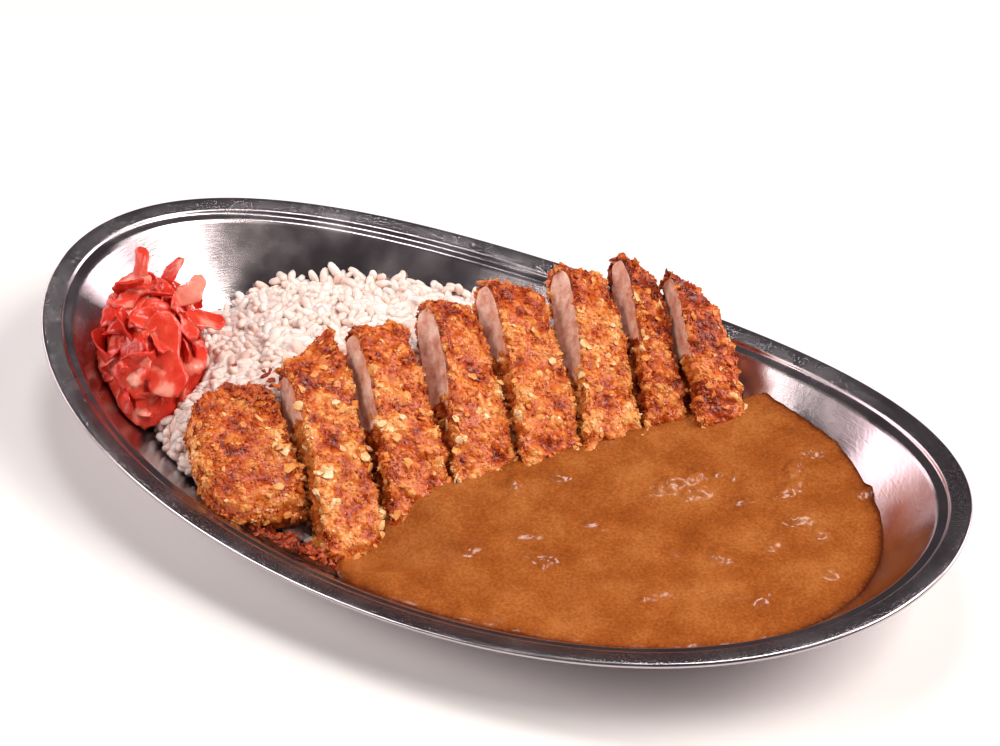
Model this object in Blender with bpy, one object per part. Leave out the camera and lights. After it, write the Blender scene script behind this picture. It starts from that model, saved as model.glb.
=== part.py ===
# Chicken katsu curry on a boat-shaped stainless steel plate, in metres, +Z up.
# The plate stands on z = 0 with its middle over the origin and its long axis along X.
import bmesh
import bpy
import math
from mathutils import Matrix, Vector

# Plate: a pressed sheet whose two ends sweep up like a boat's
HALF_LENGTH = 0.150
HALF_WIDTH = 0.0852
RIM_HEIGHT = 0.030          # mean height of the rim
END_RISE = 0.0086           # the ends stand this much above the mean, the sides this much below
SQUARENESS = -0.0111        # four-lobed swell of the outline, full at the shoulders
FLANGE_WIDTH = 0.0059
FLANGE_DROP = 0.0010
SHEET = 0.0009
HEM = 0.0017                # rolled edge, seen from outside
BASE_HALF_LENGTH = 0.108
BASE_HALF_WIDTH = 0.0515
WALL_CURVE = 1.25           # above 1 the wall is steeper at the top
AROUND = 60                 # points round the plate
SKIN = 0.00045              # kept between the food and the steel
TOOL_GROW = 0.0008          # a slice's own room in the rice and the curry
PICKLE_ROOM = 0.0004        # the pickles' own room in the rice
HOLLOW_TOP = 0.075          # above all the food

# Cutlet slices. Each row is one slice: the middle of its top where it comes out of the
# curry (x, y, z), the middle of its far end (x, y, z), its width near and far, and how much
# further its far end reaches on the right than in the middle, in millimetres, then how far
# it leans over near and far, in degrees.
SLICES = (
    ((-42.2, -59.2, 23), (-69, -34, 37), 29.5, 27, 0, 14, 14),
    ((-13.5, -51.5, 14), (-53, -11, 43), 17, 18, 6.5, 14, 18),
    ((-3, -31, 16), (-38, 5, 46), 20, 16, 0, 14, 22),
    ((9, -13, 16), (-25.8, 27.2, 45), 20, 14.6, 0, 14, 30),
    ((22, 3, 16), (-14.3, 44.7, 45), 19.6, 17, -1.5, 14, 25),
    ((35, 18, 16), (2.2, 61.9, 45), 18.6, 14, -1.5, 14, 32),
    ((45, 33, 16), (15.8, 71.6, 46), 13, 10.5, -3.5, 13, 24),
    ((60, 43, 16), (38, 69.2, 44), 16, 17.5, -7.5, 14, 12),
)
# Places across a slice and how full its side outline is there: straight at a cut, and
# rounded off on the outer side of the first and the last slice
CUT_SIDE = ((1, 0.955), (0.93, 0.99))
ROUND_SIDE = ((1, 0.16), (0.93, 0.50), (0.74, 0.76), (0.45, 0.93))
SURFACE = 0.016             # height of the curry where the slices dip in
HEAPED_RISE = 0.0012        # the thick sauce stands a little higher at its own end
FRONT_DROP = 0.0020         # and rounds down at its edge
SLICE_THICKNESS = 0.0165
SLICE_BOW = 0.0016          # the cutlet drapes over the rice
DIP = 0.0070                # length of a slice that is under the curry
PROFILE_POINTS = 24         # round a slice's side outline
END_ROUNDING = 3.0          # superellipse power of the side outline

# Heaps
RICE_TOP = 0.0215
RIDGE_RISE = 0.0080         # the rice is heaped higher under the slices' far ends
RIDGE_PLACE = 0.047
RIDGE_SPREAD = 0.015
PICKLE_CENTRE = (-0.1075, -0.0205)
PICKLE_RADII = (0.0162, 0.0275)
PICKLE_TURN = math.radians(29)   # the heap's short axis from +X
PICKLE_TOP = 0.0475
PICKLE_FLOOR = 0.0150       # the pickles lie on the rice
LINE_START = (-0.0186, -0.0528)   # the slices come out of the curry along this line
LINE_END = (0.0564, 0.0432)
REST_SLOPE = 0.52           # the rice under the cutlet rises away from that line
REST_START = 0.0045         # and starts this far behind it


def superPower(value, power):
    return math.copysign(abs(value) ** power, value)


def makeMaterial(name, colour, roughness, metallic=0.0):
    material = bpy.data.materials.new(name)
    material.use_nodes = True
    shader = material.node_tree.nodes["Principled BSDF"]
    shader.inputs["Base Color"].default_value = (*colour, 1.0)
    shader.inputs["Roughness"].default_value = roughness
    shader.inputs["Metallic"].default_value = metallic
    material.diffuse_color = (*colour, 1.0)
    return material


def makeObject(name, vertices, faces, material):
    mesh = bpy.data.meshes.new(name)
    mesh.from_pydata([tuple(v) for v in vertices], [], faces)
    shape = bmesh.new()
    shape.from_mesh(mesh)
    bmesh.ops.recalc_face_normals(shape, faces=shape.faces)
    shape.to_mesh(mesh)
    shape.free()
    mesh.shade_smooth()
    mesh.set_sharp_from_angle(angle=math.radians(50))
    item = bpy.data.objects.new(name, mesh)
    bpy.context.scene.collection.objects.link(item)
    if material:
        mesh.materials.append(material)
    return item


def stackRings(rings, closeStart=True, closeEnd=True):
    # A skin over rings of equal count, capped at both ends
    count = len(rings[0])
    vertices = [p for ring in rings for p in ring]
    faces = []
    for k in range(len(rings) - 1):
        for i in range(count):
            j = (i + 1) % count
            faces.append((k * count + i, k * count + j, (k + 1) * count + j, (k + 1) * count + i))
    if closeStart:
        faces.append(tuple(range(count))[::-1])
    if closeEnd:
        last = (len(rings) - 1) * count
        faces.append(tuple(range(last, last + count)))
    return vertices, faces


def cutBy(item, tool, operation="DIFFERENCE"):
    modifier = item.modifiers.new("cut " + tool.name, "BOOLEAN")
    modifier.operation = operation
    modifier.solver = "EXACT"
    modifier.object = tool
    tool.hide_render = True
    tool.display_type = "WIRE"


# ---- plate ----

def rimAngle(i):
    return 2 * math.pi * i / AROUND


def outline(angle, halfLength, halfWidth):
    swell = 1 + SQUARENESS * math.cos(4 * angle)
    return Vector((halfLength * swell * math.cos(angle), halfWidth * swell * math.sin(angle), 0))


def rimNormal(angle):
    step = 0.01
    along = outline(angle + step, HALF_LENGTH, HALF_WIDTH) - outline(angle - step, HALF_LENGTH, HALF_WIDTH)
    return Vector((along.y, -along.x, 0)).normalized()


def rimPoint(angle, inset, drop):
    place = outline(angle, HALF_LENGTH, HALF_WIDTH) - rimNormal(angle) * inset
    place.z = RIM_HEIGHT + END_RISE * math.cos(2 * angle) - drop
    return place


# Inset from the edge and drop below it, from the hem to the ledge inside the flange
FLANGE_PROFILE = (
    (0.0009, 0.0),
    (FLANGE_WIDTH, FLANGE_DROP),
    (FLANGE_WIDTH + 0.0010, FLANGE_DROP + 0.0012),
    (FLANGE_WIDTH + 0.0034, FLANGE_DROP + 0.0018),
)
WALL_STEPS = (0.10, 0.25, 0.42, 0.60, 0.78, 0.90, 0.97)
UNDER_FLANGE = (0.0026, SHEET + 0.0002)
HEM_PROFILE = ((0.0016, HEM), (0.0006, HEM), (0, HEM * 0.68), (0, 0.0005), (0.0003, 0.0001))


def wallPoint(angle, share):
    ledge = rimPoint(angle, *FLANGE_PROFILE[-1])
    base = outline(angle, BASE_HALF_LENGTH, BASE_HALF_WIDTH)
    place = ledge.lerp(base, share)
    place.z = SHEET + (ledge.z - SHEET) * (1 - share) ** WALL_CURVE
    return place


def innerRing(angles, k):
    if k < len(FLANGE_PROFILE):
        return [rimPoint(a, *FLANGE_PROFILE[k]) for a in angles]
    k -= len(FLANGE_PROFILE)
    if k < len(WALL_STEPS):
        return [wallPoint(a, WALL_STEPS[k]) for a in angles]
    floor = [outline(a, BASE_HALF_LENGTH, BASE_HALF_WIDTH) for a in angles]
    return [Vector((p.x, p.y, SHEET)) for p in floor]


def surfaceRings(lift):
    # The plate's upper surface moved along its own normal by lift
    angles = [rimAngle(i) for i in range(AROUND)]
    total = len(FLANGE_PROFILE) + len(WALL_STEPS) + 1
    rings = [innerRing(angles, k) for k in range(total)]
    moved = []
    for k, ring in enumerate(rings):
        before, after = rings[max(k - 1, 0)], rings[min(k + 1, total - 1)]
        row = []
        for i, place in enumerate(ring):
            across = after[i] - before[i]
            around = ring[(i + 1) % AROUND] - ring[i - 1]
            normal = across.cross(around).normalized()
            if normal.z < 0:
                normal.negate()
            if k == total - 1:
                normal = Vector((0, 0, 1))
            row.append(place + normal * lift)
        moved.append(row)
    return moved


def makePlate(material):
    angles = [rimAngle(i) for i in range(AROUND)]
    top = surfaceRings(0)
    under = surfaceRings(-SHEET)
    for i in range(AROUND):
        under[0][i] = rimPoint(angles[i], *UNDER_FLANGE)
    hem = [[rimPoint(a, inset, drop) for a in angles] for inset, drop in HEM_PROFILE]
    rings = under[::-1] + hem + top
    return makeObject("plate", *stackRings(rings), material)


def makeHollow(name):
    # The room inside the plate, as a tool that trims the food to the steel
    rings = surfaceRings(SKIN)[1:]
    lid = [Vector((p.x, p.y, HOLLOW_TOP)) for p in rings[0]]
    return makeObject(name, *stackRings([lid] + rings), None)


# ---- cutlet ----

def makeSlice(index, name, material, grow=0.0):
    near, farEnd, nearWidth, farWidth, skew, leanNear, leanFar = SLICES[index]
    near = Vector(near) / 1000
    farEnd = Vector(farEnd) / 1000
    along = (farEnd - near).normalized()
    near = near - along * DIP
    length = (farEnd - near).length
    level = along.cross(Vector((0, 0, 1))).normalized()
    leftSide = ROUND_SIDE if index == 0 else CUT_SIDE
    rightSide = ROUND_SIDE if index == len(SLICES) - 1 else CUT_SIDE
    stations = [(-place, scale) for place, scale in leftSide] + [(0.0, 1.0)] + list(rightSide[::-1])
    rings = []
    for place, scale in stations:
        ring = []
        for i in range(PROFILE_POINTS):
            angle = 2 * math.pi * i / PROFILE_POINTS
            q = superPower(math.cos(angle), 2 / END_ROUNDING)
            h = superPower(math.sin(angle), 2 / END_ROUNDING)
            share = 0.5 + 0.5 * q * scale
            width = (nearWidth + (farWidth - nearWidth) * share) / 1000
            thick = SLICE_THICKNESS * (0.94 + 0.12 * share)
            lumps = 0.0005 * math.sin(9 * share + 2.1 * index + 3 * place) * math.copysign(1, h)
            bow = SLICE_BOW * math.sin(math.pi * share)
            height = -thick / 2 + h * scale * (thick / 2 + grow) + lumps + bow
            distance = length / 2 + q * scale * (length / 2 + grow) + share * place * skew / 1000
            side = place * (width / 2 + grow)
            lean = math.radians(leanNear + (leanFar - leanNear) * share)
            turn = Matrix.Rotation(lean, 3, along)
            ring.append(near + along * distance + turn @ (level.cross(along) * height + level * side))
        rings.append(ring)
    return makeObject(name, *stackRings(rings), material)


# ---- heaps and sauce ----

def lumpy(x, y, size, height):
    # A soft, repeatable unevenness from crossed waves
    a = math.sin(x / size + 1.3 * math.sin(y / size * 0.7))
    b = math.sin(y / size * 1.1 + 1.7 * math.sin(x / size * 0.6) + 2.0)
    return height * a * b


def sideOfLine(x, y):
    # Signed distance to the line between rice and curry, positive on the curry's side
    ax, ay = LINE_START
    bx, by = LINE_END
    length = math.hypot(bx - ax, by - ay)
    return ((x - ax) * (by - ay) - (y - ay) * (bx - ax)) / length


def polarBlock(name, centre, radiusAt, heightAt, floor, spokes, shares, material):
    # A closed block with an uneven top: rings round a centre, walls down to a floor
    rings = []
    for share in shares:
        ring = []
        for i in range(spokes):
            angle = 2 * math.pi * i / spokes
            radius = radiusAt(angle) * share
            x = centre[0] + radius * math.cos(angle)
            y = centre[1] + radius * math.sin(angle)
            ring.append(Vector((x, y, heightAt(x, y, share))))
        rings.append(ring)
    rings.append([Vector((p.x, p.y, floor)) for p in rings[-1]])
    return makeObject(name, *stackRings(rings), material)


RICE_CENTRE = (-0.046, 0.006)
CURRY_CENTRE = (0.058, -0.006)


def lobedRadius(angle, right, left, far, near):
    # An ellipse with its own half axis on each side
    across = right if math.cos(angle) > 0 else left
    along = far if math.sin(angle) > 0 else near
    return 1 / math.hypot(math.cos(angle) / across, math.sin(angle) / along)


def riceRadius(angle):
    return lobedRadius(angle, 0.094, 0.064, 0.058, 0.066) * (1 + 0.02 * math.sin(5 * angle + 1))


def riceHeight(x, y, share):
    behind = -sideOfLine(x, y)
    ridge = RIDGE_RISE * math.exp(-((behind - RIDGE_PLACE) / RIDGE_SPREAD) ** 2)
    mound = (RICE_TOP + ridge) * (1 - 0.36 * share ** 5) + lumpy(x, y, 0.0065, 0.0012)
    underCutlet = REST_SLOPE * (behind - REST_START)
    return max(-0.005, min(mound, underCutlet))


def curryRadius(angle):
    # Stops at the line, elsewhere a broad front that the wall trims
    reach = lobedRadius(angle, 0.070, 0.130, 0.072, 0.074)
    here = sideOfLine(*CURRY_CENTRE)
    rate = sideOfLine(CURRY_CENTRE[0] + math.cos(angle), CURRY_CENTRE[1] + math.sin(angle)) - here
    return min(reach, -here / rate) if rate < 0 else reach


def curryHeight(x, y, share):
    front = FRONT_DROP * share ** 7
    heaped = HEAPED_RISE * min(1.0, max(0.0, (x - 0.050) / 0.040))
    return SURFACE + heaped - front + lumpy(x, y, 0.0085, 0.0004)


def pickleRadius(angle):
    a, b = PICKLE_RADII
    turned = angle - PICKLE_TURN
    reach = 1 / math.hypot(math.cos(turned) / a, math.sin(turned) / b)
    return reach * (1 + 0.07 * math.sin(5 * angle + 0.6) + 0.04 * math.sin(9 * angle))


def pickleHeight(x, y, share):
    dome = math.sqrt(max(0.0, 1 - share * share * 0.98))
    return 0.020 + (PICKLE_TOP - 0.020) * dome + lumpy(x, y, 0.0050, 0.0022)


def build():
    for item in list(bpy.data.objects):
        bpy.data.objects.remove(item, do_unlink=True)

    steel = makeMaterial("stainless steel", (0.62, 0.60, 0.60), 0.18, 1.0)
    crust = makeMaterial("fried crumb", (0.52, 0.22, 0.05), 0.55)
    riceWhite = makeMaterial("boiled rice", (0.82, 0.78, 0.74), 0.45)
    sauce = makeMaterial("curry sauce", (0.33, 0.13, 0.03), 0.25)
    pickled = makeMaterial("red pickle", (0.75, 0.05, 0.02), 0.25)

    makePlate(steel)
    hollow = makeHollow("hollow tool")

    grownSlices = []
    for index in range(len(SLICES)):
        item = makeSlice(index, "katsu_%d" % (index + 1), crust)
        cutBy(item, hollow, "INTERSECT")
        grownSlices.append(makeSlice(index, "slice tool %d" % (index + 1), None, grow=TOOL_GROW))

    ringShares = (0.12, 0.32, 0.52, 0.70, 0.84, 0.94, 1.0)
    domeShares = (0.14, 0.34, 0.54, 0.72, 0.87, 0.96, 1.0)
    rice = polarBlock("rice", RICE_CENTRE, riceRadius, riceHeight, -0.01, 36, ringShares, riceWhite)
    curry = polarBlock("curry", CURRY_CENTRE, curryRadius, curryHeight, -0.01, 36, ringShares, sauce)
    pickles = polarBlock("pickles", PICKLE_CENTRE, pickleRadius, pickleHeight,
                         PICKLE_FLOOR, 28, domeShares, pickled)
    grownPickles = polarBlock("pickle tool", PICKLE_CENTRE, lambda a: pickleRadius(a) + PICKLE_ROOM,
                              lambda x, y, share: pickleHeight(x, y, share) + PICKLE_ROOM,
                              PICKLE_FLOOR - PICKLE_ROOM, 28, domeShares, None)
    for item in (rice, curry, pickles):
        cutBy(item, hollow, "INTERSECT")
    for tool in grownSlices:
        cutBy(rice, tool)
        cutBy(curry, tool)
    cutBy(rice, grownPickles)


build()
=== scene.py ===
import math
import random

import bmesh
import bpy
import numpy as np
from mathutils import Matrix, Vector, noise
from mathutils.bvhtree import BVHTree


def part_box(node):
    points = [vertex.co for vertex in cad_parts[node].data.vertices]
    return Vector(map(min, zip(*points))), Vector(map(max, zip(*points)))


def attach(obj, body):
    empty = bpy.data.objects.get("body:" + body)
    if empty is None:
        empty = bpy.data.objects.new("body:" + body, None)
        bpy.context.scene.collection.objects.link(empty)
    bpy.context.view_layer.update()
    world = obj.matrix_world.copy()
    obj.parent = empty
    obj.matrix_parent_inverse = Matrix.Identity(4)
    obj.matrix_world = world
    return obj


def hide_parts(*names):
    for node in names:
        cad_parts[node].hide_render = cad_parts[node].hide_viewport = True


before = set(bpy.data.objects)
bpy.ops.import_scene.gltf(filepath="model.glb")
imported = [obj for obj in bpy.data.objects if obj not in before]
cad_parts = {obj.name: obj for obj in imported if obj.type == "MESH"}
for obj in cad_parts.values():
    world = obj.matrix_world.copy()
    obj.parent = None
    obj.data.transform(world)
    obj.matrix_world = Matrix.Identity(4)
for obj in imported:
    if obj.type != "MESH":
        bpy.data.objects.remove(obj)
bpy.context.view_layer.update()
mm = 0.001


# Small helpers shared by every piece

def hexColour(code):
    # sRGB hex to the linear colour that a shader wants
    parts = [int(code[i:i + 2], 16) / 255 for i in (1, 3, 5)]
    return [p / 12.92 if p <= 0.04045 else ((p + 0.055) / 1.055) ** 2.4 for p in parts] + [1.0]


def addNode(material, kind, settings=None, links=None):
    # Adds one node. Settings are node properties, input values or ramp stops; links feed its inputs
    tree = material.node_tree
    node = tree.nodes.new(kind)
    for key, value in (settings or {}).items():
        if key == "stops":
            ramp = node.color_ramp
            while len(ramp.elements) > 1:
                ramp.elements.remove(ramp.elements[-1])
            ramp.elements[0].position = value[0][0]
            ramp.elements[0].color = hexColour(value[0][1])
            for place, code in value[1:]:
                ramp.elements.new(place).color = hexColour(code)
        elif isinstance(key, str) and hasattr(node, key):
            setattr(node, key, value)
        else:
            node.inputs[key].default_value = value
    for key, (source, output) in (links or {}).items():
        tree.links.new(source.outputs[output], node.inputs[key])
    return node


def startMaterial(name, settings):
    # A new material with its Principled shader set from the dictionary
    material = bpy.data.materials.new(name)
    material.use_nodes = True
    shader = material.node_tree.nodes["Principled BSDF"]
    for key, value in settings.items():
        shader.inputs[key].default_value = value
    return material, shader


def feed(material, shader, source, output, socket):
    material.node_tree.links.new(source.outputs[output], shader.inputs[socket])


def makePiece(name, vertices, faces, materials, attributes=None, faceMaterials=None, smooth=True):
    mesh = bpy.data.meshes.new(name)
    mesh.from_pydata(np.asarray(vertices).tolist(), [], np.asarray(faces).tolist()
                     if not isinstance(faces, list) else faces)
    for key, values in (attributes or {}).items():
        layer = mesh.attributes.new(key, "FLOAT", "POINT")
        layer.data.foreach_set("value", np.asarray(values, np.float32))
    for material in materials:
        mesh.materials.append(material)
    if faceMaterials is not None:
        mesh.polygons.foreach_set("material_index", np.asarray(faceMaterials, np.int32))
    mesh.update()
    if smooth:
        mesh.shade_smooth()
    piece = bpy.data.objects.new(name, mesh)
    bpy.context.scene.collection.objects.link(piece)
    return piece


def meshPoints(piece):
    points = np.zeros(len(piece.data.vertices) * 3, np.float32)
    piece.data.vertices.foreach_get("co", points)
    return points.reshape(-1, 3).astype(float)


def meshNormals(piece):
    normals = np.zeros(len(piece.data.vertices) * 3, np.float32)
    piece.data.vertices.foreach_get("normal", normals)
    return normals.reshape(-1, 3).astype(float)


def movePoints(piece, points):
    piece.data.vertices.foreach_set("co", np.asarray(points, np.float32).ravel())
    piece.data.update()


def readAttribute(piece, key):
    values = np.zeros(len(piece.data.vertices), np.float32)
    piece.data.attributes[key].data.foreach_get("value", values)
    return values.astype(float)


def gridFaces(rows, columns, wrap=True):
    # Quads over a rows x columns grid of points, joined round the columns when wrap is on
    faces = []
    for r in range(rows - 1):
        for c in range(columns if wrap else columns - 1):
            d = (c + 1) % columns
            faces.append((r * columns + c, r * columns + d, (r + 1) * columns + d, (r + 1) * columns + c))
    return faces


def softNoise(points, size, seed=0.0):
    offset = Vector((seed * 7.3, seed * 3.1, seed * 5.7))
    return np.array([noise.noise(Vector(p) / size + offset) for p in points])


def crumbNoise(points, size, seed=0.0):
    # Plateaus of uneven height with cracks between them, as crumbs pressed together
    offset = Vector((seed * 2.9, seed * 6.1, seed * 4.3))
    heights = []
    for p in points:
        distances, centres = noise.voronoi(Vector(p) / size + offset)
        plateau = min(1.0, (distances[1] - distances[0]) * 2.2)
        heights.append(plateau * (0.35 + 0.65 * noise.cell(centres[0] * 9.7)))
    return np.array(heights)


def turnedAxes(normals, spin, tilt):
    # Three axes for each thing: one along the surface, tilted out of it by its own angle
    helper = np.where(np.abs(normals[:, 2:3]) > 0.9, [[1.0, 0, 0]], [[0, 0, 1.0]])
    first = np.cross(normals, helper)
    first /= np.linalg.norm(first, axis=1, keepdims=True)
    second = np.cross(normals, first)
    flat = first * np.cos(spin)[:, None] + second * np.sin(spin)[:, None]
    side = np.cross(normals, flat)
    long = flat * np.cos(tilt)[:, None] + normals * np.sin(tilt)[:, None]
    return long, side, np.cross(long, side)


def joinCopies(name, bases, places, axes, sizes, tones, material, smooth=True):
    # One mesh from many copies of a few base shapes, each turned, sized and toned
    vertices, faces, toneValues, start = [], [], [], 0
    for i, place in enumerate(places):
        shape, shapeFaces = bases[i % len(bases)]
        local = shape * sizes[i]
        world = place + local[:, 0:1] * axes[0][i] + local[:, 1:2] * axes[1][i] + local[:, 2:3] * axes[2][i]
        vertices.append(world)
        faces.append(shapeFaces + start)
        toneValues.append(np.full(len(world), tones[i]))
        start += len(world)
    faces = [f for block in faces for f in block.tolist()]
    return makePiece(name, np.concatenate(vertices), faces, [material], {"tone": np.concatenate(toneValues)},
                     smooth=smooth)


def treeOf(piece):
    points = [v.co.copy() for v in piece.data.vertices]
    return BVHTree.FromPolygons(points, [tuple(p.vertices) for p in piece.data.polygons])


def heightUnder(tree, x, y, top=0.08):
    hit = tree.ray_cast(Vector((x, y, top)), Vector((0, 0, -1)))
    return hit[0].z if hit[0] else None


def restOn(piece, tree, gap=0.06 * mm):
    # Lifts whatever would go through the steel until it lies on it
    points = meshPoints(piece)
    for p in points:
        steel = heightUnder(tree, p[0], p[1])
        if steel is not None and p[2] < steel + gap:
            p[2] = steel + gap
    movePoints(piece, points)


# Plate: stainless steel, deep drawn and mirror polished, with a rolled hem

plateShape = {
    "halfLength": 150.0 * mm,
    "halfWidth": 85.2 * mm,
    "rimHeight": 30.0 * mm,       # mean height of the rim
    "endRise": 8.6 * mm,          # the ends are this much higher, the sides this much lower
    "squareness": -0.0111,
    "flangeWidth": 5.9 * mm,
    "flangeDrop": 1.0 * mm,
    "hemRadius": 0.85 * mm,
    "sheet": 0.9 * mm,
    "baseHalfLength": 108.0 * mm,
    "baseHalfWidth": 51.5 * mm,
    "wallCurve": 1.25,
    "around": 320,
    "wallRings": 34,
}


def plateOutline(angle, halfLength, halfWidth):
    swell = 1 + plateShape["squareness"] * np.cos(4 * angle)
    return np.stack([halfLength * swell * np.cos(angle), halfWidth * swell * np.sin(angle)], -1)


def rimRing(angle, inset, drop):
    step = 0.01
    shape = plateShape
    edge = plateOutline(angle, shape["halfLength"], shape["halfWidth"])
    along = (plateOutline(angle + step, shape["halfLength"], shape["halfWidth"])
             - plateOutline(angle - step, shape["halfLength"], shape["halfWidth"]))
    outward = np.stack([along[:, 1], -along[:, 0]], -1)
    outward /= np.linalg.norm(outward, axis=1, keepdims=True)
    height = shape["rimHeight"] + shape["endRise"] * np.cos(2 * angle) - drop
    return np.concatenate([edge - outward * inset, height[:, None]], 1)


def wallRing(angle, ledge, share):
    shape = plateShape
    base = plateOutline(angle, shape["baseHalfLength"], shape["baseHalfWidth"])
    flat = ledge[:, :2] * (1 - share) + base * share
    height = shape["sheet"] + (ledge[:, 2] - shape["sheet"]) * (1 - share) ** shape["wallCurve"]
    return np.concatenate([flat, height[:, None]], 1)


def makePlate(material):
    shape = plateShape
    angle = np.linspace(0, 2 * math.pi, shape["around"], endpoint=False)
    width, drop, bead = shape["flangeWidth"], shape["flangeDrop"], shape["hemRadius"]
    top = [(bead + 0.15 * mm, 0.0), (2.2 * mm, 0.1 * mm), (width - 1.6 * mm, drop * 0.62), (width - 0.4 * mm, drop * 0.93),
           (width, drop), (width + 0.25 * mm, drop + 0.2 * mm), (width + 0.55 * mm, drop + 0.75 * mm),
           (width + 0.85 * mm, drop + 1.15 * mm), (width + 1.25 * mm, drop + 1.32 * mm),
           (width + 2.4 * mm, drop + 1.5 * mm), (width + 3.1 * mm, drop + 1.64 * mm), (width + 3.4 * mm, drop + 1.8 * mm)]
    rings = [rimRing(angle, inset, fall) for inset, fall in top]
    ledge = rings[-1]
    shares = np.linspace(0, 1, shape["wallRings"] + 1)[1:]
    rings += [wallRing(angle, ledge, s) for s in shares]
    rings += [np.concatenate([rings[-1][:, :2] * s, rings[-1][:, 2:]], 1) for s in (0.9, 0.7, 0.45, 0.2, 0.02)]
    upper = np.array(rings)
    # The underside is the same skin moved one sheet down along its normal
    across = np.gradient(upper, axis=0)
    around = np.roll(upper, -1, 1) - np.roll(upper, 1, 1)
    normal = np.cross(across, around)
    normal /= np.linalg.norm(normal, axis=2, keepdims=True)
    normal *= np.sign(normal[:, :, 2:3])
    lower = upper - normal * shape["sheet"]
    lower[:, :, 2] = np.maximum(lower[:, :, 2], 0.0)
    lower = lower[2:][::-1]
    turns = np.radians(np.linspace(-100, 85, 10))
    hem = [rimRing(angle, bead * (1 - math.cos(t)), bead * (1 - math.sin(t))) for t in turns]
    inner = [rimRing(angle, 2.1 * mm, 1.75 * mm), rimRing(angle, 1.6 * mm, 1.75 * mm)]
    skin = np.concatenate([lower, np.array(inner), np.array(hem), upper])
    rows = len(skin)
    faces = gridFaces(rows, shape["around"])
    faces.append(list(range(shape["around"]))[::-1])
    faces.append([(rows - 1) * shape["around"] + i for i in range(shape["around"])])
    # Whether each ring is the flange: the first five rings past the hem
    first = len(lower) + len(inner) + len(hem)
    flange = np.zeros(rows)
    flange[first:first + 5] = 1
    piece = makePiece("steelPlate", skin.reshape(-1, 3), faces, [material],
                      {"flange": np.repeat(flange, shape["around"])})
    shapeMesh = bmesh.new()
    shapeMesh.from_mesh(piece.data)
    bmesh.ops.recalc_face_normals(shapeMesh, faces=shapeMesh.faces)
    shapeMesh.to_mesh(piece.data)
    shapeMesh.free()
    # Lengths round and down the skin, in metres, for the polishing marks
    layer = piece.data.uv_layers.new(name="polish")
    span = np.linalg.norm(np.diff(skin[:, 0], axis=0), axis=1)
    down = np.concatenate([[0], np.cumsum(span)])
    loops = np.zeros(len(piece.data.loops), np.int32)
    piece.data.loops.foreach_get("vertex_index", loops)
    around = (loops % shape["around"]) / shape["around"]
    layer.data.foreach_set("uv", np.stack([np.abs(around - 0.5) * 1.6, down[loops // shape["around"]]], -1)
                           .astype(np.float32).ravel())
    return piece


def polishedSteel():
    # Stainless steel, mirror polished, then worn by washing: sharp dark reflections
    # broken by fine hairlines, with small bright pits along the flange
    material, shader = startMaterial("polished stainless steel", {
        "Base Color": hexColour("#CDC8C8"), "Metallic": 1.0, "Roughness": 0.14})
    place = addNode(material, "ShaderNodeTexCoord")
    flange = addNode(material, "ShaderNodeAttribute", {"attribute_name": "flange"})
    # Hairlines about 0.3 mm apart are drawn here 0.6 mm wide so that they show
    hair = addNode(material, "ShaderNodeMapping", {"Scale": (60, 1600, 1)}, {"Vector": (place, "UV")})
    lines = addNode(material, "ShaderNodeTexNoise", {"Scale": 1.0, "Detail": 3.0}, {"Vector": (hair, "Vector")})
    wipes = addNode(material, "ShaderNodeMapping",
                    {"Rotation": (0.3, 0.2, 0.8), "Scale": (900, 60, 900)}, {"Vector": (place, "Object")})
    scuffs = addNode(material, "ShaderNodeTexNoise", {"Scale": 1.0, "Detail": 2.0}, {"Vector": (wipes, "Vector")})
    pits = addNode(material, "ShaderNodeTexNoise", {"Scale": 2900.0, "Detail": 1.0}, {"Vector": (place, "Object")})
    smear = addNode(material, "ShaderNodeTexNoise", {"Scale": 55.0, "Detail": 3.0}, {"Vector": (place, "Object")})
    rough = addNode(material, "ShaderNodeMapRange", {"From Min": 0.35, "From Max": 0.75, "To Min": 0.14, "To Max": 0.34},
                    {"Value": (smear, "Fac")})
    both = addNode(material, "ShaderNodeMath", {"operation": "ADD"}, {0: (lines, "Fac"), 1: (scuffs, "Fac")})
    feed(material, shader, rough, "Result", "Roughness")
    soft = addNode(material, "ShaderNodeBump", {"Strength": 0.07, "Distance": 0.0003}, {"Height": (both, "Value")})
    speck = addNode(material, "ShaderNodeMapRange", {"From Min": 0.585, "From Max": 0.70}, {"Value": (pits, "Fac")})
    onFlange = addNode(material, "ShaderNodeMath", {"operation": "MULTIPLY"},
                       {0: (speck, "Result"), 1: (flange, "Fac")})
    bump = addNode(material, "ShaderNodeBump", {"Strength": 0.28, "Distance": 0.0002},
                   {"Height": (onFlange, "Value"), "Normal": (soft, "Normal")})
    feed(material, shader, bump, "Normal", "Normal")
    # Scratched spots lose their polish and turn pale
    worn = addNode(material, "ShaderNodeMapRange", {"From Min": 0.0, "From Max": 1.0, "To Min": 0.35, "To Max": 0.75},
                   {"Value": (onFlange, "Value")})
    tint = addNode(material, "ShaderNodeValToRGB", {"stops": ((0.3, "#B4A9AD"), (0.8, "#E9E4E6"))},
                   {"Fac": (worn, "Result")})
    feed(material, shader, tint, "Color", "Base Color")
    return material


# Cutlet: eight slices of chicken in fried breadcrumb

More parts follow.
